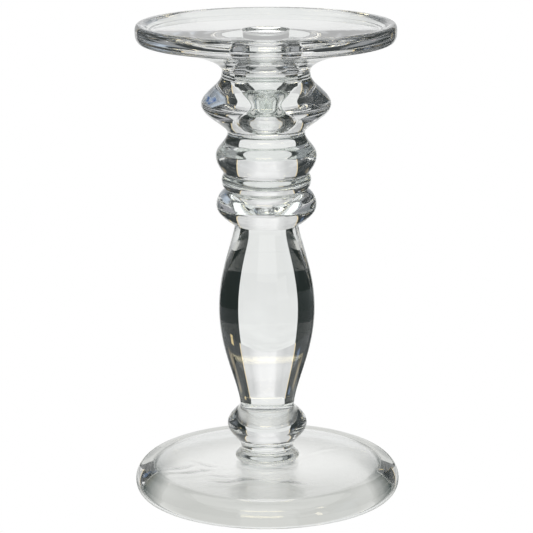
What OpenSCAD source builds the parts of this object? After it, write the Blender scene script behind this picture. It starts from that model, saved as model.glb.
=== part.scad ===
// Glass candlestick: a round pressed foot, a stem of fused knops round a long baluster, and a wide drip
// plate with a raised rim. A blind taper socket goes down from the middle of the plate into the
// widest knop. Units are millimetres, +Z is up, and the origin is the middle of the resting face.
// Every piece is a body of revolution about Z, and each one is fused to the next at a flat joint.

/* [Foot] */
// Widest diameter of the foot
foot_diameter = 128.9; // [124:0.1:136]
// Thickness of the foot at the crest of its edge
foot_thickness = 12.8; // [11:0.1:16]
// Height at which the foot is widest
foot_widest_z = 4.6; // [3:0.1:6]
// Outer diameter of the flat resting ring
foot_rest_diameter = 124; // [121:0.1:124]
// Inner diameter of the resting ring, where the hollow underside begins
foot_hollow_diameter = 120; // [110:0.1:120.5]
// Height of the hollow underside above the resting ring
foot_hollow_height = 8.5; // [1:0.1:8.5]
// Diameter of the crease where the rounded edge meets the top of the foot
foot_crease_diameter = 112; // [90:0.1:114]
// How far the top of the foot rises from the crease to the collar
foot_rise = 0.8; // [0.4:0.1:2]

/* [Collar on the foot] */
// Height of the collar ring
collar_height = 5.3; // [4:0.05:7]
// Widest diameter of the collar ring
collar_diameter = 31.2; // [28:0.1:34]

/* [Small knop on the collar] */
// Height of the small knop
foot_knop_height = 22.5; // [18:0.1:26]
// Widest diameter of the small knop
foot_knop_diameter = 38.6; // [34:0.1:44]

/* [Baluster] */
// Height of the baluster stem
baluster_height = 90.1; // [70:0.1:110]
// Widest diameter of the baluster stem
baluster_diameter = 46.2; // [40:0.1:52]

/* [Knops above the baluster] */
// Height of the lower knop
lower_knop_height = 17.3; // [14:0.1:20]
// Widest diameter of the lower knop
lower_knop_diameter = 47.8; // [44:0.1:52]
// Height of the thin ring between the two knops
ring_height = 8.1; // [6:0.1:10]
// Widest diameter of the thin ring
ring_diameter = 42.6; // [41.6:0.1:46]
// Height of the upper knop
upper_knop_height = 19.4; // [16:0.1:22]
// Widest diameter of the upper knop
upper_knop_diameter = 48; // [44:0.1:54]
// Height of the socket knop
socket_knop_height = 27.6; // [27:0.1:31]
// Widest diameter of the socket knop
socket_knop_diameter = 61.4; // [54:0.1:66]

/* [Drip plate] */
// Widest diameter of the plate
plate_diameter = 122.9; // [121:0.1:130]
// Height from the socket knop to the crest of the rim
plate_height = 24.1; // [23:0.1:26]
// How far the crest of the rim stands above the floor of the plate
rim_height = 3; // [2:0.1:3.5]
// Diameter of the flat floor inside the rim
floor_diameter = 106; // [90:0.1:112]
// Diameter of the inner edge of the rim's crest
crest_diameter = 117; // [114:0.1:118]
// Diameter of the flared neck at its narrowest
neck_diameter = 41.5; // [36:0.1:48]

/* [Taper socket] */
// Diameter of the socket, for a standard candle end of 22 mm
socket_diameter = 22.5; // [20:0.1:24]
// Depth of the straight wall below the floor of the plate
socket_straight = 30.2; // [27:0.1:31]
// Depth of the rounded seat below the straight wall
seat_depth = 13.6; // [10:0.1:14]
// Radius of the rounded lip at the mouth
lip_radius = 0.4; // [0.3:0.1:1.5]

/* [Hidden] */

$fn = 144;
glass = [0.86, 0.93, 0.90, 0.45];
steps = 14;                     // points along each curved stretch of an outline

// Joint heights, from the foot upwards
foot_top = foot_thickness + foot_rise;
collar_top = foot_top + collar_height;
foot_knop_top = collar_top + foot_knop_height;
baluster_top = foot_knop_top + baluster_height;
lower_knop_top = baluster_top + lower_knop_height;
ring_top = lower_knop_top + ring_height;
upper_knop_top = ring_top + upper_knop_height;
socket_knop_top = upper_knop_top + socket_knop_height;
rim_top = socket_knop_top + plate_height;
floor_z = rim_top - rim_height;
seat_top = floor_z - socket_straight;
seat_bottom = seat_top - seat_depth;

// How far in the wall of the hollow underside leans, and the fillet between the foot and its collar
foot_wall_run = 7;
fillet_run = 3;
fillet_drop = 0.3;

// Joint radii: the bottoms of the grooves between neighbouring pieces
collar_foot_r = 13;
knop_collar_r = 12.65;
baluster_foot_r = 13.05;
baluster_knop_r = 15.2;
ring_lower_r = 19.15;
ring_upper_r = 20.4;
upper_socket_r = 18.4;
neck_socket_r = 21.05;

// A swelling between two joints: r1 at z1, widest r2 at z2, r3 at z3. A power of 1 is an ellipse,
// a higher one draws the flank in towards a waist. The points run from the bottom to the top.
function swelling(z1, r1, z2, r2, z3, r3, low, high) = [
    for (k = [-steps : steps])
        let (a = 90 * k / steps, c = max(cos(a), 0))
            k < 0 ? [r1 + (r2 - r1) * pow(c, low), z2 + (z2 - z1) * sin(a)]
                  : [r3 + (r2 - r3) * pow(c, high), z2 + (z3 - z2) * sin(a)]
];

// A rounded corner from its widest point (r2, z2) to its end (r1, z1), leaving out the widest point
// when first is 1. A fullness of 2 is an ellipse.
function corner(r2, z2, r1, z1, fullness, first = 0) = [
    for (k = [first : steps])
        let (a = 90 * k / steps)
            [r1 + (r2 - r1) * pow(max(cos(a), 0), 2 / fullness),
             z2 + (z1 - z2) * pow(sin(a), 2 / fullness)]
];

function reversed(list) = [for (k = [len(list) - 1 : -1 : 0]) list[k]];

// A solid swelling closed on the axis
module turned_swelling(z1, r1, z2, r2, z3, r3, low, high) {
    rotate_extrude()
        polygon(concat([[0, z1]], swelling(z1, r1, z2, r2, z3, r3, low, high), [[0, z3]]));
}

module foot() {
    color(glass) rotate_extrude()
        polygon(concat(
            // The hollow underside: a flat ceiling and a quarter-ellipse wall down to the ring
            [[0, foot_hollow_height]],
            reversed(corner(foot_hollow_diameter / 2, 0, foot_hollow_diameter / 2 - foot_wall_run,
                            foot_hollow_height, 2)),
            reversed(corner(foot_diameter / 2, foot_widest_z, foot_rest_diameter / 2, 0, 2)),
            corner(foot_diameter / 2, foot_widest_z, foot_crease_diameter / 2, foot_thickness, 2, 1),
            [[collar_foot_r + fillet_run, foot_top - fillet_drop], [collar_foot_r, foot_top],
             [0, foot_top]]
        ));
}

module foot_collar() {
    color(glass)
        turned_swelling(foot_top, collar_foot_r, foot_top + 0.4 * collar_height, collar_diameter / 2,
                        collar_top, knop_collar_r, 2, 3);
}

module foot_knop() {
    color(glass)
        turned_swelling(collar_top, knop_collar_r, collar_top + 0.593 * foot_knop_height,
                        foot_knop_diameter / 2, foot_knop_top, baluster_foot_r, 6, 2.5);
}

module baluster_stem() {
    color(glass)
        turned_swelling(foot_knop_top, baluster_foot_r, foot_knop_top + 0.538 * baluster_height,
                        baluster_diameter / 2, baluster_top, baluster_knop_r, 3.24, 2.76);
}

module lower_knop() {
    color(glass)
        turned_swelling(baluster_top, baluster_knop_r, baluster_top + 0.564 * lower_knop_height,
                        lower_knop_diameter / 2, lower_knop_top, ring_lower_r, 2.06, 1.34);
}

module middle_ring() {
    color(glass)
        turned_swelling(lower_knop_top, ring_lower_r, lower_knop_top + 0.564 * ring_height,
                        ring_diameter / 2, ring_top, ring_upper_r, 1.24, 3.4);
}

module upper_knop() {
    color(glass)
        turned_swelling(ring_top, ring_upper_r, ring_top + 0.433 * upper_knop_height,
                        upper_knop_diameter / 2, upper_knop_top, upper_socket_r, 2.24, 4.8);
}

// Half outline of the rounded seat, from the straight wall down to its lowest point
seat = [for (k = [steps : -1 : 0]) [socket_diameter / 2 * pow(k / steps, 0.96),
                                    seat_bottom + seat_depth * pow(k / steps, 2)]];

module socket_knop() {
    color(glass) rotate_extrude()
        polygon(concat(
            [[0, upper_knop_top]],
            swelling(upper_knop_top, upper_socket_r, upper_knop_top + 0.488 * socket_knop_height,
                     socket_knop_diameter / 2, socket_knop_top, neck_socket_r, 3.76, 4.54),
            [[socket_diameter / 2, socket_knop_top]],
            seat
        ));
}

// The flare sweeps out from the neck; its last point is where the rounded edge of the plate begins
flare_r = plate_diameter / 2 - 3.45;
flare_z = rim_top - 8.95;
edge_z = rim_top - 3.5;
neck_z = socket_knop_top + 1.2;
crest_width = 0.9;

module pillar_plate() {
    color(glass) rotate_extrude()
        polygon(concat(
            [[neck_socket_r, socket_knop_top]],
            [for (k = [0 : 2 * steps - 1])
                let (u = k / (2 * steps))
                    [neck_diameter / 2 + (flare_r - neck_diameter / 2) * pow(u, 2.1),
                     neck_z + (flare_z - neck_z) * u]],
            reversed(corner(plate_diameter / 2, edge_z, flare_r, flare_z, 2.5)),
            corner(plate_diameter / 2, edge_z, crest_diameter / 2 + crest_width, rim_top, 2.5, 1),
            // The crest of the rim and the ramp from it down to the floor of the plate
            [for (k = [steps : -1 : 0])
                let (u = k / steps)
                    [floor_diameter / 2 + (crest_diameter - floor_diameter) / 2 * u,
                     floor_z + rim_height * (1 - cos(180 * u)) / 2]],
            // The lip of the socket's mouth and its wall down to the joint
            [for (k = [0 : 6])
                let (a = 15 * k)
                    [socket_diameter / 2 + lip_radius * (1 - sin(a)),
                     floor_z - lip_radius * (1 - cos(a))]],
            [[socket_diameter / 2, socket_knop_top]]
        ));
}

foot();
foot_collar();
foot_knop();
baluster_stem();
lower_knop();
middle_ring();
upper_knop();
socket_knop();
pillar_plate();
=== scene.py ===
"""Glass candlestick: nine pieces of clear glass, fused end to end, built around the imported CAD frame."""

import math

import bpy
import numpy as np
from mathutils import Matrix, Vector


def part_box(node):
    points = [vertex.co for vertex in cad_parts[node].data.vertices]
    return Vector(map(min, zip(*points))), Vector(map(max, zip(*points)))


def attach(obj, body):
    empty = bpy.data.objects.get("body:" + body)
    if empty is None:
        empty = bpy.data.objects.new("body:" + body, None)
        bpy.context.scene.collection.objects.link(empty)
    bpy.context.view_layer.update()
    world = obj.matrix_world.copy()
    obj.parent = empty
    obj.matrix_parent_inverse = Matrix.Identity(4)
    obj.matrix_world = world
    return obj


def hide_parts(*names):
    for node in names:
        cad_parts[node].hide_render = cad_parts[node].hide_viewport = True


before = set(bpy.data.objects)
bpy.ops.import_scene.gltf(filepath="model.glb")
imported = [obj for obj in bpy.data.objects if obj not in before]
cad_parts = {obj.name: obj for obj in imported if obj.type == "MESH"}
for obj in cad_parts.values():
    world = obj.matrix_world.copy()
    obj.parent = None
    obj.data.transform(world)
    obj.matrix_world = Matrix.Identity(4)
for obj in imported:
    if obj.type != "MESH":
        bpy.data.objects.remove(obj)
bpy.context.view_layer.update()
MM = 0.001


def span(node):
    """Lowest height, top height and widest radius of a CAD node, in millimetres."""
    low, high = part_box(node)
    return low[2] / MM, high[2] / MM, (high[0] - low[0]) / 2 / MM


# ---------------------------------------------------------------- sizes, in millimetres
# Radii of the joints, at the bottoms of the grooves between the pieces
R_COLLAR_FOOT = 13.0
R_KNOP_COLLAR = 12.65
R_BALUSTER_FOOT = 13.05
R_BALUSTER_KNOP = 15.2
R_RING_LOWER = 19.15
R_RING_UPPER = 20.4
R_UPPER_SOCKET = 18.4
R_NECK_SOCKET = 21.05

FLANKS = {
    # node: radius below, radius above, share of the height at which it is widest, powers of the
    # flank below and above that, steps in each
    "foot_collar": (R_COLLAR_FOOT, R_KNOP_COLLAR, 0.4, 2, 3, 26),
    "foot_knop": (R_KNOP_COLLAR, R_BALUSTER_FOOT, 0.593, 6, 2.5, 26),
    "baluster_stem": (R_BALUSTER_FOOT, R_BALUSTER_KNOP, 0.538, 3.24, 2.76, 48),
    "lower_knop": (R_BALUSTER_KNOP, R_RING_LOWER, 0.564, 2.06, 1.34, 26),
    "middle_ring": (R_RING_LOWER, R_RING_UPPER, 0.564, 1.24, 3.4, 26),
    "upper_knop": (R_RING_UPPER, R_UPPER_SOCKET, 0.433, 2.24, 4.8, 26),
    "socket_knop": (R_UPPER_SOCKET, R_NECK_SOCKET, 0.488, 3.76, 4.54, 34),
}

# The foot: where it is widest, its crease, its resting ring, its hollow and the fillet to its collar
FOOT_WIDEST_Z = 4.6
FOOT_RISE = 0.8
R_CREASE = 56.0
R_REST_OUTER = 62.0
R_REST_MIDDLE = 61.2
R_REST_INNER = 60.0
HOLLOW_HEIGHT = 8.5
HOLLOW_RUN = 7.0
FILLET_RUN = 3.0
FILLET_DROP = 0.3

# The plate: its flared neck, the rounded edge, the rim and the floor inside it
R_NECK = 20.75
NECK_RISE = 1.2
NECK_BEVEL = (0.2, 0.6)
FLARE_POWER = 2.1
EDGE_RUN = 3.45
EDGE_DROP = 3.5
FLARE_DROP = 8.95
EDGE_FULLNESS = 2.5
RIM_HEIGHT = 3.0
CREST_WIDTH = 0.9
R_CREST = 58.5
R_FLOOR = 53.0

# The taper socket: its wall, its lip and the fluted seat below the wall
R_SOCKET = 11.25
LIP = 0.4
SOCKET_STRAIGHT = 30.2
SEAT_TOP = span("pillar_plate")[1] - RIM_HEIGHT - SOCKET_STRAIGHT
SEAT_DEPTH = 13.6
SEAT_POWER = 0.96
FLUTES = 16
FLUTE_DEPTH = 0.06

# ---------------------------------------------------------------- outlines
# An outline is a list of rows (r, z, sharp, surface) in millimetres. It goes from the axis or the
# socket's wall out along the underside of a piece, up its outside and back in. sharp marks a ring as
# a crisp edge, and surface is the material slot of the glass that starts at that row. The third slot
# is the ground underside on the foot and the seat on the socket knop.
GLASS, JOINT, GROUND, TOP = 0, 1, 2, 3
SEAT = GROUND
TINY = 1e-6  # two lengths that differ by less than this are the same


def spread(n):
    """Angles from 0 to a quarter turn in n equal steps."""
    return [math.pi / 2 * k / n for k in range(n + 1)]


def swelling(z1, r1, z2, r2, z3, r3, low, high, n):
    """The flank of a knop: r1 at z1, widest r2 at z2, r3 at z3. A power of 1 is an ellipse, and a
    higher one draws the flank in towards a waist."""
    rows = []
    for a in reversed(spread(n)):
        c = max(math.cos(a), 0.0) ** low
        rows.append((r1 + (r2 - r1) * c, z2 + (z1 - z2) * math.sin(a)))
    for a in spread(n)[1:]:
        c = max(math.cos(a), 0.0) ** high
        rows.append((r3 + (r2 - r3) * c, z2 + (z3 - z2) * math.sin(a)))
    return rows


def corner(r2, z2, r1, z1, fullness, n):
    """A rounded corner from its widest point to its end; a fullness of 2 is an ellipse."""
    return [
        (
            r1 + (r2 - r1) * max(math.cos(a), 0.0) ** (2 / fullness),
            z2 + (z1 - z2) * math.sin(a) ** (2 / fullness),
        )
        for a in spread(n)
    ]


def disc(r, z, inner=0.0, up=True, n=6):
    """The flat face of a joint: rows inwards for the top of a piece, outwards for its underside."""
    rows = [(inner + (r - inner) * k / n, z) for k in range(n + 1)]
    return list(reversed(rows)) if up else rows


def joined(*parts):
    """Puts stretches together. Each is (rows, surface), or (rows, surface, "smooth") where it runs on
    from the one before without a crisp edge. A row that two stretches share is kept once."""
    rows = []
    for stretch, surface, *smooth in parts:
        for k, (r, z) in enumerate(stretch):
            if rows and k == 0 and math.dist(rows[-1][:2], (r, z)) < TINY:
                r, z = rows.pop()[:2]
            rows.append((r, z, k == 0 and not smooth, surface))
    return rows


def flank(node):
    z1, z3, r2 = span(node)
    r1, r3, share, low, high, n = FLANKS[node]
    return swelling(z1, r1, z1 + share * (z3 - z1), r2, z3, r3, low, high, n)


def knop_outline(node):
    z1, z3, _ = span(node)
    r1, r3 = FLANKS[node][:2]
    return joined((disc(r1, z1, up=False), JOINT), (flank(node), GLASS), (disc(r3, z3), JOINT))


def foot_outline():
    bottom, top, widest = span("foot")
    hollow_r = R_REST_INNER - HOLLOW_RUN
    crease_z = top - FOOT_RISE
    fillet_r = R_COLLAR_FOOT + FILLET_RUN
    fillet_z = crease_z + FOOT_RISE - FILLET_DROP
    ceiling = [(hollow_r * k / 24, HOLLOW_HEIGHT) for k in range(25)]
    wall = [
        (hollow_r + HOLLOW_RUN * math.sin(a), HOLLOW_HEIGHT * max(math.cos(a), 0.0))
        for a in spread(18)
    ]
    rest = [(R_REST_INNER, bottom), (R_REST_MIDDLE, bottom), (R_REST_OUTER, bottom)]
    rise = [
        (R_CREASE + (fillet_r - R_CREASE) * k / 40, crease_z + (fillet_z - crease_z) * k / 40)
        for k in range(41)
    ]
    fillet = [(fillet_r - FILLET_RUN * t, fillet_z + FILLET_DROP * t) for t in (0, 0.5, 1)]
    return joined(
        (ceiling, GROUND),
        (wall, GLASS, "smooth"),
        (rest, GROUND),
        (list(reversed(corner(widest, FOOT_WIDEST_Z, R_REST_OUTER, bottom, 2, 12))), GLASS, "smooth"),
        (corner(widest, FOOT_WIDEST_Z, R_CREASE, crease_z, 2, 26), GLASS, "smooth"),
        (rise, TOP, "smooth"),
        (fillet, TOP, "smooth"),
        (disc(R_COLLAR_FOOT, top), JOINT),
    )


def socket_outline():
    z1, z3, _ = span("socket_knop")
    wall = [(R_SOCKET, z3 + (SEAT_TOP - z3) * k / 12) for k in range(13)]
    seat = [
        (R_SOCKET * (k / 40) ** SEAT_POWER, SEAT_TOP - SEAT_DEPTH * (1 - (k / 40) ** 2))
        for k in range(40, -1, -1)
    ]
    rough, smooth = seat[:15], seat[14:]
    return joined(
        (disc(R_UPPER_SOCKET, z1, up=False), JOINT),
        (flank("socket_knop"), GLASS),
        (disc(R_NECK_SOCKET, z3, inner=R_SOCKET), JOINT),
        (wall, GLASS),
        (rough, SEAT),
        (smooth, GLASS, "smooth"),
    )


def plate_outline():
    z0, top, widest = span("pillar_plate")
    neck_z = z0 + NECK_RISE
    flare_r = widest - EDGE_RUN
    flare_z = top - FLARE_DROP
    edge_z = top - EDGE_DROP
    floor_z = top - RIM_HEIGHT
    bevel = [(R_NECK_SOCKET, z0), (R_NECK_SOCKET - NECK_BEVEL[0], z0 + NECK_BEVEL[1])]
    flare = [
        (R_NECK + (flare_r - R_NECK) * (k / 44) ** FLARE_POWER, neck_z + (flare_z - neck_z) * k / 44)
        for k in range(45)
    ]
    under_edge = list(reversed(corner(widest, edge_z, flare_r, flare_z, EDGE_FULLNESS, 16)))
    over_edge = corner(widest, edge_z, R_CREST + CREST_WIDTH, top, EDGE_FULLNESS, 16)
    ramp = [
        (
            R_FLOOR + (R_CREST - R_FLOOR) * k / 20,
            floor_z + RIM_HEIGHT * (1 - math.cos(math.pi * k / 20)) / 2,
        )
        for k in range(20, -1, -1)
    ]
    floor = [(R_FLOOR + (R_SOCKET + LIP - R_FLOOR) * k / 24, floor_z) for k in range(25)]
    mouth = [
        (R_SOCKET + LIP * (1 - math.sin(a)), floor_z - LIP * (1 - math.cos(a))) for a in spread(8)
    ]
    wall = [(R_SOCKET, floor_z - LIP + (z0 - floor_z + LIP) * k / 20) for k in range(21)]
    return joined(
        (disc(R_NECK_SOCKET, z0, inner=R_SOCKET, up=False), JOINT),
        (bevel + flare, GLASS),
        (under_edge, GLASS, "smooth"),
        (over_edge, GLASS, "smooth"),
        (ramp, GLASS, "smooth"),
        (floor, GLASS, "smooth"),
        (mouth, GLASS, "smooth"),
        (wall, GLASS, "smooth"),
    )


# ---------------------------------------------------------------- hand-worked surface relief
# Angles are in radians, with -90 degrees at the front. Depths and lengths are in millimetres.
SEAM = math.radians(-94)  # the mould's parting line, a little left of the front, and opposite it
FOOT_SEAM = math.radians(-91)  # where the same line shows on the edge of the foot
ANGLES = 320
FINER = 0.33  # how much closer together the steps of the lathe are near the two seams
turn = np.linspace(0, math.tau, ANGLES, endpoint=False)
ANGLE = SEAM + turn - FINER * np.sin(2 * turn)

# Slow waves in a flank: depth, lobes round the piece, twist per millimetre of height, phase
WAVES = [(0.020, 2, 0.21, 0.0), (0.012, 3, -0.13, 1.0), (0.004, 7, 0.35, 0.0)]
RIDGE_HEIGHT = 0.02
RIDGE_WIDTH = 0.35
FLANK_FADE = 2.0

# How far each face of a joint stands off, so that light meets both faces in turn
HAIR = 0.001
# How far the joint on top of a piece wanders up and down round the stem, and how far that reaches
JOINT_WANDER = {
    "foot_knop": 0.22,
    "baluster_stem": 0.06,
    "lower_knop": 0.04,
    "middle_ring": 0.04,
    "upper_knop": 0.05,
    "foot_collar": 0.10,
}
WANDER_REACH = 3.2
WANDER_CORE = 12.0  # nearer the axis than this, the wander dies away

# Tool lines in the plate's edge, and the band below the rim's crest that has them
TOOL_LINE_DEPTH = 0.022
TOOL_LINES_BELOW = (9.0, 0.4)

# The seam's nick in the foot's edge, and the height where it ends
NICK_DEPTH = 0.07
NICK_WIDTH = 0.5
NICK_TOP = 9.0

# Chill wrinkles in the top of the foot: x, y, length, width, heading in degrees, depth
WRINKLES = [
    (-43, -14, 16, 3.8, 20, 0.36),
    (-36, -20, 22, 4.4, 12, 0.36),
    (-30, -10, 12, 3.2, -35, 0.24),
    (-16, -33, 26, 4.2, 8, 0.38),
    (12, -36, 16, 3.6, -6, 0.30),
    (-24, -26, 18, 5.0, -20, 0.28),
    (30, 14, 18, 3.4, 30, 0.08),
    (22, 34, 20, 3.6, -25, 0.08),
    (-30, 30, 22, 3.6, 15, 0.08),
]


def bump_at(x, centre, width):
    return np.exp(-(((x - centre) / width) ** 2))


def ramp_up(x, start, run):
    """0 up to start, then rising evenly to 1 over run."""
    return np.clip((x - start) / run, 0, 1)


def ramp_down(x, end, run):
    """1, then falling evenly over run to 0 at end."""
    return np.clip((end - x) / run, 0, 1)


def from_seam(angle, radius):
    """Distance round the piece from the nearer of the two seams."""
    half = (angle - SEAM + math.pi / 2) % math.pi - math.pi / 2
    return half * radius


def flank_relief(r, z, a, low, high):
    """Slow waviness and the seam's ridge on a flank. They fade out towards both joints."""
    wave = sum(deep * np.sin(lobes * a + twist * z + phase) for deep, lobes, twist, phase in WAVES)
    ridge = RIDGE_HEIGHT * bump_at(from_seam(a, r), 0.0, RIDGE_WIDTH)
    return (wave + ridge) * (ramp_up(z, low, FLANK_FADE) * ramp_down(z, high, FLANK_FADE))


def rim_relief(z, a, low, high):
    """Shallow horizontal tool lines round the plate's edge, cut inwards only."""
    lines = np.sin(2.9 * z + 1.6 * np.sin(3 * a) + 0.9 * np.sin(8 * a + 1.0))
    sway = 0.6 + 0.4 * np.sin(5 * a + 0.4 * z)
    return -TOOL_LINE_DEPTH * (1 - lines) * sway * (ramp_up(z, low, 1.5) * ramp_down(z, high, 0.8))


def joint_lift(r, z, a):
    """How far the fused joints wander at each point; the two pieces at a joint share it exactly."""
    lift = np.zeros_like(r)
    for node, amount in JOINT_WANDER.items():
        height = span(node)[1]
        wave = np.sin(2 * a + height) + 0.6 * np.sin(3 * a + 1.7 * height) + 0.3 * np.sin(7 * a + height)
        lift += amount * wave * bump_at(z, height, WANDER_REACH) * ramp_up(r, 0, WANDER_CORE) ** 2
    return lift


def wrinkles(x, y):
    """Height of the wrinkled top of the foot, below zero in a wrinkle."""
    height = np.zeros_like(x)
    for cx, cy, length, width, heading, deep in WRINKLES:
        h = math.radians(heading)
        along = (x - cx) * math.cos(h) + (y - cy) * math.sin(h)
        across = -(x - cx) * math.sin(h) + (y - cy) * math.cos(h) + 0.9 * np.sin(along / 2.7 + cx)
        height -= deep * np.exp(-((along / length * 2) ** 2) - (across / width * 2) ** 2)
    return height


def surface_push(node, rows, surfaces, r, z, a):
    """How far each point of a piece moves outwards, square to its outline."""
    low, high, widest = span(node)
    glass = np.array([surface == GLASS for surface in surfaces])
    if node == "foot":
        side = ramp_up(rows[:, 0], R_REST_INNER, 2.0) * ramp_down(rows[:, 1], NICK_TOP, 2.0)
        side *= glass * (rows[:, 1] > 0.5)
        return -NICK_DEPTH * bump_at((a - FOOT_SEAM) * r, 0.0, NICK_WIDTH) * side[:, None]
    if node == "pillar_plate":
        edge = rows[:, 0] > widest - EDGE_RUN
        below, above = TOOL_LINES_BELOW
        return rim_relief(z, a, high - below, high - above) * edge[:, None]
    outside = glass & (rows[:, 0] > R_SOCKET + 0.5)
    return flank_relief(r, z, a, low, high) * outside[:, None]


def worked(node, rows, surfaces, r, z, a):
    """The radius and height of every point of a piece, once its relief is worked into it."""
    low, high, _ = span(node)
    step = np.gradient(rows, axis=0)
    length = np.maximum(np.hypot(step[:, 0], step[:, 1]), 1e-9)
    push = surface_push(node, rows, surfaces, r, z, a)
    new_r = r + push * (step[:, 1] / length)[:, None]
    new_z = z + push * (-step[:, 0] / length)[:, None]
    if node == "foot":
        face = (rows[:, 1] > high - 1.5 * FOOT_RISE) & (rows[:, 0] > R_COLLAR_FOOT + FILLET_RUN + 1)
        inside = ramp_down(r, R_CREASE, 4.0)
        new_z += wrinkles(r * np.cos(a), r * np.sin(a)) * face[:, None] * inside
    if node == "socket_knop":
        seat = (rows[:, 0] <= R_SOCKET + TINY) & (rows[:, 1] < SEAT_TOP - TINY)
        fade = ramp_down(rows[:, 1], SEAT_TOP, 2.5) * ramp_up(rows[:, 0], 8.0, 2.0)
        new_r += (seat * fade * FLUTE_DEPTH)[:, None] * np.cos(FLUTES * a)
    if node not in ("foot", "pillar_plate"):
        new_z += joint_lift(r, z, a)
    if node != "foot":
        new_z += HAIR * (np.abs(z - low) < TINY)
    if node != "pillar_plate":
        new_z -= HAIR * (np.abs(z - high) < TINY)
    return new_r, new_z


# ---------------------------------------------------------------- turning an outline into a mesh
def lathe_points(rows, r, z, a):
    """The points of a turned surface, and the number of each by row and angle. A row on the axis
    is one point."""
    points = []
    index = np.zeros(r.shape, dtype=int)
    for k, radius in enumerate(rows[:, 0]):
        if radius < TINY:
            index[k, :] = len(points)
            points.append((0.0, 0.0, float(z[k].mean())))
        else:
            index[k, :] = np.arange(len(points), len(points) + ANGLES)
            points.extend(zip(r[k] * np.cos(a[k]), r[k] * np.sin(a[k]), z[k]))
    return points, index


def lathe_faces(index):
    """The faces between neighbouring rows, row by row; those that meet the axis are triangles."""
    faces = []
    for lower, upper in zip(index[:-1], index[1:]):
        for j in range(ANGLES):
            m = (j + 1) % ANGLES
            quad = [lower[j], lower[m], upper[m], upper[j]]
            faces.append([v for n, v in enumerate(quad) if v != quad[n - 1]])
    return faces


def mark_crisp(mesh, rings):
    """Makes the edges along some rings of points sharp."""
    crisp = set()
    for ring in rings:
        pairs = zip(ring.tolist(), np.roll(ring, -1).tolist())
        crisp.update(tuple(sorted(pair)) for pair in pairs)
    for edge in mesh.edges:
        edge.use_edge_sharp = tuple(sorted(edge.vertices)) in crisp


def build_piece(node, outline):
    """Turns an outline round the Z axis into one mesh for a CAD node."""
    rows = np.array([(r, z) for r, z, _, _ in outline])
    surfaces = [surface for _, _, _, surface in outline]
    r, a = np.meshgrid(rows[:, 0], ANGLE, indexing="ij")
    z = np.repeat(rows[:, 1][:, None], ANGLES, 1)
    new_r, new_z = worked(node, rows, surfaces, r, z, a)
    points, index = lathe_points(rows, new_r, new_z, a)
    mesh = bpy.data.meshes.new(node + "_glass")
    mesh.from_pydata(np.array(points) * MM, [], lathe_faces(index))
    mesh.update()
    for number, polygon in enumerate(mesh.polygons):
        polygon.material_index = surfaces[number // ANGLES]
        polygon.use_smooth = True
    rings = [index[k] for k, (radius, _, sharp, _) in enumerate(outline) if sharp and radius > TINY]
    mark_crisp(mesh, rings)
    piece = bpy.data.objects.new(node + "_glass", mesh)
    bpy.context.scene.collection.objects.link(piece)
    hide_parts(node)
    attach(piece, "root")
    return piece


# ---------------------------------------------------------------- materials
TINT = (0.988, 0.994, 0.991)
CORD_TINT = (TINT[0] - 0.012, TINT[1] - 0.008, TINT[2] - 0.008)
JOINT_TINT = (0.968, 0.974, 0.971)
GLASS_IOR = 1.52


def glass_material(name, seed, waviness, roughness=0.0):
    """Clear soda-lime glass with faint colour cords and fire-polish ripples of a depth in metres."""
    material = bpy.data.materials.new(name)
    material.use_nodes = True
    tree = material.node_tree
    shader = tree.nodes["Principled BSDF"]
    shader.inputs["Transmission Weight"].default_value = 1.0
    shader.inputs["IOR"].default_value = GLASS_IOR
    shader.inputs["Roughness"].default_value = roughness
    place = tree.nodes.new("ShaderNodeTexCoord")
    shift = tree.nodes.new("ShaderNodeMapping")
    shift.inputs["Location"].default_value = (0.13 * seed, 0.07 * seed, 0.11 * seed)
    tree.links.new(place.outputs["Object"], shift.inputs["Vector"])
    cords = tree.nodes.new("ShaderNodeTexNoise")
    cords.inputs["Scale"].default_value = 34
    cords.inputs["Detail"].default_value = 2
    cords.inputs["Distortion"].default_value = 1.2
    tree.links.new(shift.outputs[0], cords.inputs["Vector"])
    shade = tree.nodes.new("ShaderNodeValToRGB")
    shade.color_ramp.elements[0].position = 0.3
    shade.color_ramp.elements[0].color = (*CORD_TINT, 1)
    shade.color_ramp.elements[1].position = 0.7
    shade.color_ramp.elements[1].color = (*TINT, 1)
    tree.links.new(cords.outputs["Fac"], shade.inputs["Fac"])
    tree.links.new(shade.outputs["Color"], shader.inputs["Base Color"])
    ripple = tree.nodes.new("ShaderNodeTexNoise")
    ripple.inputs["Scale"].default_value = 95
    ripple.inputs["Detail"].default_value = 3
    ripple.inputs["Roughness"].default_value = 0.45
    tree.links.new(shift.outputs[0], ripple.inputs["Vector"])
    bump = tree.nodes.new("ShaderNodeBump")
    bump.inputs["Strength"].default_value = 1.0
    bump.inputs["Distance"].default_value = waviness
    tree.links.new(ripple.outputs["Fac"], bump.inputs["Height"])
    tree.links.new(bump.outputs[0], shader.inputs["Normal"])
    return material


def joint_material():
    """A fused joint has no surface of its own: light goes straight on into the next piece. Its tint
    is the faint grey-green that soda-lime glass shows to a look along the whole stem."""
    material = bpy.data.materials.new("fused_joint")
    material.use_nodes = True
    tree = material.node_tree
    tree.nodes.clear()
    out = tree.nodes.new("ShaderNodeOutputMaterial")
    clear = tree.nodes.new("ShaderNodeBsdfTransparent")
    clear.inputs["Color"].default_value = (*JOINT_TINT, 1)
    tree.links.new(clear.outputs[0], out.inputs["Surface"])
    return material


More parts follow.
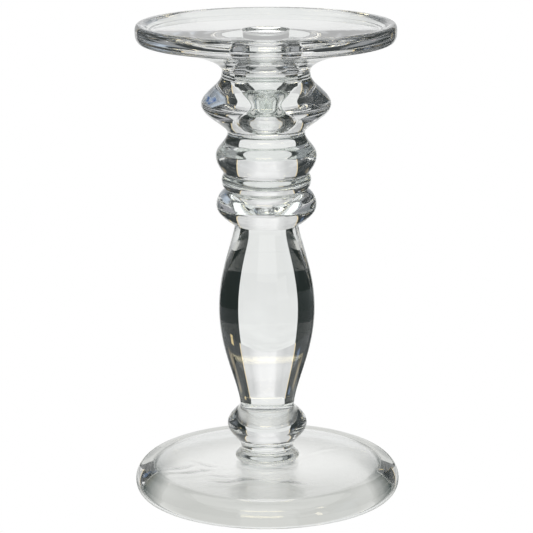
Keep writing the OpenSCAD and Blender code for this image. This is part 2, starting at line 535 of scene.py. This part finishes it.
joint = joint_material()
outlines = {node: knop_outline(node) for node in FLANKS if node != "socket_knop"}
outlines["foot"] = foot_outline()
outlines["socket_knop"] = socket_outline()
outlines["pillar_plate"] = plate_outline()
for seed, node in enumerate(sorted(outlines)):
    piece = build_piece(node, outlines[node])
    slots = piece.data.materials
    slots.append(glass_material(node + "_clear", seed, 0.000003))
    slots.append(joint)
    if node == "foot":
        slots.append(glass_material("foot_underside", 20, 0.00002, roughness=0.06))
        slots.append(glass_material("foot_top", 22, 0.000003, roughness=0.18))
    if node == "socket_knop":
        slots.append(glass_material("socket_seat", 21, 0.000002, roughness=0.09))


# ---------------------------------------------------------------- the studio
# The camera sees a plain white floor and surround. The glass sees cards: patches of a sphere about
# 2 m in radius, where a smaller radius hangs in front, and wedges of the floor. Azimuth 0 is straight
# behind the object, 90 is to its right and 180 is at the front, in degrees.
FILL = (0.04, 0.046, 0.047)  # light from every side that no card covers
BACKDROP = (0.66, 0.665, 0.665)
NEAR = (0.64, 0.645, 0.62)  # the floor round the foot
DARK_FLOOR = (0.018, 0.024, 0.022)
CONTACT = (0.05, 0.075, 0.07)  # the shade beside the foot
SIDE_RIGHT = (0.36, 0.40, 0.45)
WARM = (0.36, 0.31, 0.22)
FRINGE = (0.95, 0.78, 0.48)
FLOOR_Z = -0.0003
LAYER = 0.0001  # a floor card lies this much above the layer below it


def grey(value):
    return (value, value, value)


def glow(name, colour, base, even):
    """Light of a card: its colour where the "lit" attribute is 1, its base where it fades to 0. It
    is slightly cloudy unless it is even."""
    material = bpy.data.materials.new(name)
    material.use_nodes = True
    tree = material.node_tree
    tree.nodes.clear()
    out = tree.nodes.new("ShaderNodeOutputMaterial")
    lamp = tree.nodes.new("ShaderNodeEmission")
    lit = tree.nodes.new("ShaderNodeAttribute")
    lit.attribute_name = "lit"
    blend = tree.nodes.new("ShaderNodeMix")
    blend.data_type = "RGBA"
    blend.inputs["A"].default_value = (*base, 1)
    blend.inputs["B"].default_value = (*colour, 1)
    tree.links.new(lit.outputs["Fac"], blend.inputs["Factor"])
    tree.links.new(blend.outputs["Result"], lamp.inputs["Color"])
    tree.links.new(lamp.outputs[0], out.inputs["Surface"])
    if even:
        lamp.inputs["Strength"].default_value = 1.0
        return material
    place = tree.nodes.new("ShaderNodeTexCoord")
    cloud = tree.nodes.new("ShaderNodeTexNoise")
    cloud.inputs["Scale"].default_value = 2.2
    cloud.inputs["Detail"].default_value = 3
    level = tree.nodes.new("ShaderNodeMapRange")
    level.inputs["From Min"].default_value = 0.3
    level.inputs["From Max"].default_value = 0.7
    level.inputs["To Min"].default_value = 0.92
    level.inputs["To Max"].default_value = 1.07
    tree.links.new(place.outputs["Object"], cloud.inputs["Vector"])
    tree.links.new(cloud.outputs["Fac"], level.inputs["Value"])
    tree.links.new(level.outputs[0], lamp.inputs["Strength"])
    return material


def set_piece(name, points, faces, lit, colour, base=FILL, camera=False):
    """A card, floor or surround of the studio, seen by the camera alone or by the glass alone."""
    mesh = bpy.data.meshes.new(name)
    mesh.from_pydata(points, [], faces)
    mesh.update()
    mesh.materials.append(glow(name + "_light", colour, base, camera))
    mesh.attributes.new("lit", "FLOAT", "POINT").data.foreach_set("value", lit)
    thing = bpy.data.objects.new(name, mesh)
    bpy.context.scene.collection.objects.link(thing)
    thing.visible_camera = camera
    thing.visible_diffuse = not camera
    thing.visible_glossy = not camera
    thing.visible_transmission = not camera
    thing.visible_shadow = False
    return thing


def grid_faces(columns, lines):
    n = lines + 1
    return [
        (i * n + j, i * n + j + 1, (i + 1) * n + j + 1, (i + 1) * n + j)
        for i in range(columns)
        for j in range(lines)
    ]


def dome_patch(az0, az1, el0, el1, radius=2.0, soft=0.0, columns=24, lines=6):
    """A patch of a sphere between azimuths and elevations, fading over soft degrees at its edges."""
    points, lit = [], []
    for i in range(columns + 1):
        az = az0 + (az1 - az0) * i / columns
        for j in range(lines + 1):
            el = el0 + (el1 - el0) * j / lines
            p, q = math.radians(az), math.radians(el)
            flat = radius * math.cos(q)
            points.append((flat * math.sin(p), flat * math.cos(p), radius * math.sin(q)))
            inside = min(az - az0, az1 - az, el - el0, el1 - el)
            lit.append(min(inside / soft, 1.0) if soft else 1.0)
    return points, grid_faces(columns, lines), lit


def floor_wedge(az0, az1, inner, outer, layer=0, soft=(0.0, 0.0), columns=48, lines=10):
    """A wedge of the floor between azimuths and radii, fading over the soft degrees and metres at
    its edges. A wedge that starts at the middle of the floor fades at its outer edge only."""
    points, lit = [], []
    for i in range(columns + 1):
        az = az0 + (az1 - az0) * i / columns
        p = math.radians(az)
        for j in range(lines + 1):
            q = inner + (outer - inner) * j / lines
            points.append((q * math.sin(p), q * math.cos(p), FLOOR_Z + LAYER * layer))
            turned = min(az - az0, az1 - az) / soft[0] if soft[0] else 1.0
            edge = min(q - inner, outer - q) if inner else outer - q
            out = edge / soft[1] if soft[1] else 1.0
            lit.append(min(turned, out, 1.0))
    return points, grid_faces(columns, lines), lit


def round_floor(radius, columns=96):
    turns = [math.tau * k / columns for k in range(columns)]
    ring = [(radius * math.cos(t), radius * math.sin(t), FLOOR_Z + LAYER) for t in turns]
    return ring, [tuple(range(columns))], [1.0] * columns


def card(name, colour, *where, base=FILL, **how):
    """A card round the object: azimuths and elevations, and what dome_patch takes."""
    return set_piece("card_" + name, *dome_patch(*where, **how), colour, base)


def floor_card(name, colour, *where, base=FILL, **how):
    """A card on the floor: azimuths and radii, and what floor_wedge takes."""
    return set_piece("card_floor_" + name, *floor_wedge(*where, **how), colour, base)


scene = bpy.context.scene
scene.cycles.max_bounces = 48
scene.cycles.transmission_bounces = 48
scene.cycles.glossy_bounces = 48
scene.cycles.transparent_max_bounces = 64
scene.view_settings.view_transform = "Standard"

world = bpy.data.worlds.new("studio")
scene.world = world
world.use_nodes = True
world.node_tree.nodes["Background"].inputs["Color"].default_value = (*FILL, 1)

set_piece("pale_floor", *round_floor(14.0), grey(1.0), camera=True)
surround = dome_patch(-180, 180, -80, 90, 13.0, columns=48, lines=12)
set_piece("pale_surround", *surround, grey(1.0), camera=True)
floor_card("near", NEAR, -180, 180, 0.0, 0.11)
beside = dict(layer=2, soft=(18, 0.009), base=NEAR)
fine = dict(columns=48, lines=24)
rig = [
    # the floor: brighter behind, dark at the sides, shaded beside the foot
    floor_card("under", (0.96, 0.96, 0.94), -115, 115, 0.0, 0.058, layer=1, soft=(60, 0.014), base=NEAR),
    floor_card("behind", (0.85, 0.86, 0.85), -28, 25, 0.11, 2.0),
    floor_card("right", DARK_FLOOR, 25, 100, 0.11, 2.0),
    floor_card("left", DARK_FLOOR, -125, -28, 0.11, 2.0),
    floor_card("front_left", (0.27, 0.29, 0.30), 180, 235, 0.22, 2.0),
    floor_card("front_right", (0.38, 0.39, 0.39), 100, 155, 0.28, 2.0),
    floor_card("gold", (0.8, 0.64, 0.32), 36.5, 40.5, 1.3, 1.9, layer=2),
    floor_card("contact_left", CONTACT, -104, -58, 0.050, 0.080, **beside),
    floor_card("contact_right", CONTACT, 58, 104, 0.050, 0.080, **beside),
    # the backdrop, which makes the bright windows in the stem, and the lamps in front
    card("backdrop", BACKDROP, -28, 26, -2, 22.4),
    card("lamp", (6.5, 5.8, 3.8), 163, 209, 41, 49, radius=1.93, soft=3, base=grey(0.95)),
    card("lamp_right", (5.0, 4.4, 3.2), 124, 130, 36, 43, radius=1.93),
    card("backdrop_bright", grey(0.93), -17, 17, -10, 27, radius=1.98, soft=11, base=BACKDROP, **fine),
    card("backdrop_top", grey(0.9), -9, 24, 22.4, 35, soft=3),
    card("backdrop_top_left", (0.3, 0.31, 0.31), -28, -9, 22.4, 33, soft=3),
    # the dome above
    card("behind_high", (0.52, 0.53, 0.53), -14, 14, 35, 50, soft=3),
    card("high_right", (0.36, 0.37, 0.38), 36, 88, 22, 50, soft=5),
    card("high_left", (0.34, 0.35, 0.36), -95, -36, 22, 50, soft=5),
    card("ring", grey(0.8), -150, 150, 50, 68, columns=48),
    card("top", (0.6, 0.61, 0.62), -120, 120, 68, 90, columns=48),
    card("top_front", grey(1.0), 120, 240, 50, 90, radius=1.98),
    card("key", (1.9, 1.9, 1.88), 166, 212, 48, 68, radius=1.95, soft=2, base=grey(1.0)),
    # the front and the sides
    card("front_high", grey(0.95), 152, 206, 12, 48),
    card("front_low", (0.34, 0.34, 0.36), 155, 206, -2, 12),
    card("front_right", (0.9, 0.9, 0.89), 124, 155, -2, 13),
    card("side_right", SIDE_RIGHT, 86, 128, 2, 40, radius=1.96, soft=12),
    card("side_left", (0.07, 0.09, 0.11), -128, -95, 0, 20, radius=1.96, soft=8),
    card("side_right_high", (0.54, 0.62, 0.72), 87, 113, 20, 37, radius=1.95, soft=5, base=SIDE_RIGHT),
    # small coloured cards and sparks, for the glints deep in the knops
    card("gold", (0.75, 0.6, 0.3), 36.5, 40.5, 0.1, 2.6, radius=1.94),
    card("blue", (0.05, 0.13, 0.34), 93.5, 98.5, 14.5, 18.5, radius=1.92, soft=1.6, base=(0.42, 0.49, 0.57)),
    card("sky", (0.12, 0.17, 0.26), -38.5, -33, 3, 7.5, radius=1.94, soft=1),
    card("swoosh", grey(1.3), -39, -34.5, 10.5, 12.5, radius=1.94),
    card("warm_right", WARM, 43, 56, 6, 14, radius=1.94, soft=4),
    card("warm_left", WARM, -50, -40, 7, 15, radius=1.94, soft=4),
    card("pink", (1.1, 0.85, 0.88), -54, -50.5, 29, 32, radius=1.94),
    card("spark_right", grey(1.5), 31, 32.5, 25, 27, radius=1.94),
    card("spark_high", grey(1.5), 41, 42, 26, 28, radius=1.94),
    card("fringe_right", FRINGE, 26, 27, -2, 22.4, radius=1.99),
    card("fringe_left", FRINGE, -29, -28, -2, 22.4, radius=1.99),
]

# ---------------------------------------------------------------- the camera
SENSOR_WIDTH = 36
LENS = 147.15
CAMERA_AT = (-0.0001, -1.01659, 0.36238)
LOOK_DOWN = 0.24287  # radians below level
ROLL = -0.0035  # radians

camera_data = bpy.data.cameras.new("camera")
camera_data.sensor_fit = "HORIZONTAL"
camera_data.sensor_width = SENSOR_WIDTH
camera_data.lens = LENS
camera_data.clip_end = 60
camera = bpy.data.objects.new("camera", camera_data)
scene.collection.objects.link(camera)
camera.location = CAMERA_AT
tilt = Matrix.Rotation(math.pi / 2 - LOOK_DOWN, 3, "X")
camera.rotation_euler = (tilt @ Matrix.Rotation(ROLL, 3, "Z")).to_euler()
scene.camera = camera
bpy.context.view_layer.update()

# The cards hang from a level hub that turns to the camera, so the lit side is always behind the object
hub = bpy.data.objects.new("studio_hub", None)
scene.collection.objects.link(hub)
facing = hub.constraints.new("LOCKED_TRACK")
facing.target = camera
facing.track_axis = "TRACK_NEGATIVE_Y"
facing.lock_axis = "LOCK_Z"
for thing in rig:
    thing.parent = hub
